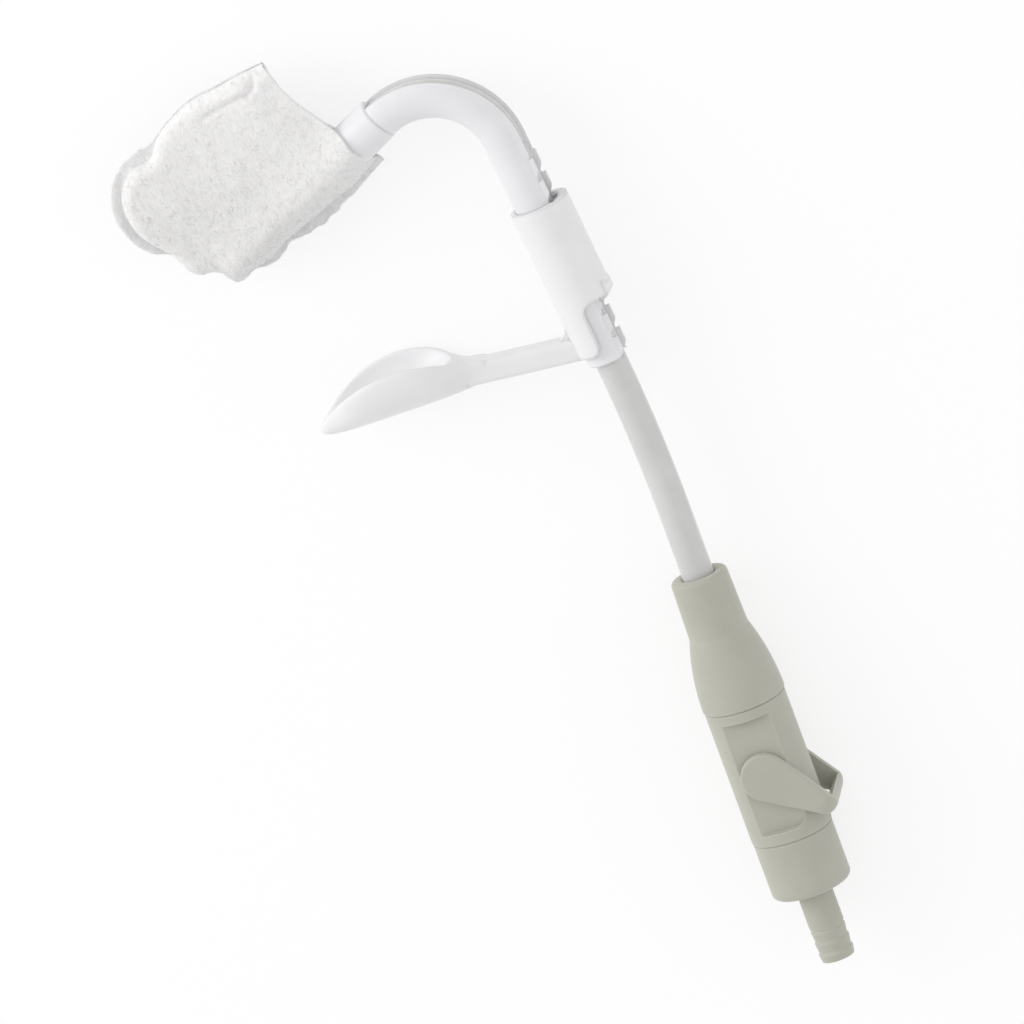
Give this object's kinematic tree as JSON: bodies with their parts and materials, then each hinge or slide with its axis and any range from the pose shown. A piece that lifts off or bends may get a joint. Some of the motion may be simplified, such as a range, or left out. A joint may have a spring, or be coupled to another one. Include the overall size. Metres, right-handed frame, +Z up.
{
  "type": "saliva ejector",
  "caption": "Hook-shaped saliva ejector with a fleece-covered tongue blade, a sliding chin rest and a suction tube plugged into a lever valve with a hose barb.",
  "frame": {"origin": "on the valve's axis at the shoulder of the tail cap, where the suction hose stops on its barb", "axes": "+Y along the valve from the barb to the nose, +Z up out of the flat-lying hook, the hook and the chin rest towards -X"},
  "size_m": [0.0972, 0.2114, 0.0174],
  "materials": {
    "valve_plastic": "fine matt, warm grey",
    "spool_plastic": "smooth",
    "seal_rubber": "smooth black",
    "tube_plastic": "smooth, milky, lets light through",
    "frame_plastic": "smooth white, lets a little light through",
    "slider_plastic": "satin white",
    "fleece": "soft fibrous nonwoven"
  },
  "bodies": {
    "ejector": {"valve_body": "valve_plastic", "tail_cap": "valve_plastic", "tail_seal": "seal_rubber", "nose_piece": "valve_plastic", "nose_seal": "seal_rubber", "suction_tube": "tube_plastic", "retractor_frame": "frame_plastic", "fleece_pouch": "fleece"},
    "lever": {"lever": "valve_plastic", "valve_spool": "spool_plastic", "spool_seal_near": "seal_rubber", "spool_seal_far": "seal_rubber"},
    "slider": {"chin_slider": "slider_plastic"}
  },
  "joints": [
    {"name": "lever_turn", "type": "hinge", "parent": "ejector", "child": "lever", "pos_m": [0, 0.02675, 0], "axis": [0, 0, 1], "range_deg": [0, 85]},
    {"name": "chin_slide", "type": "slide", "parent": "ejector", "child": "slider", "axis": [-0.0906, 0.9959, 0], "range_m": [-0.01006, 0.01006]}
  ]
}
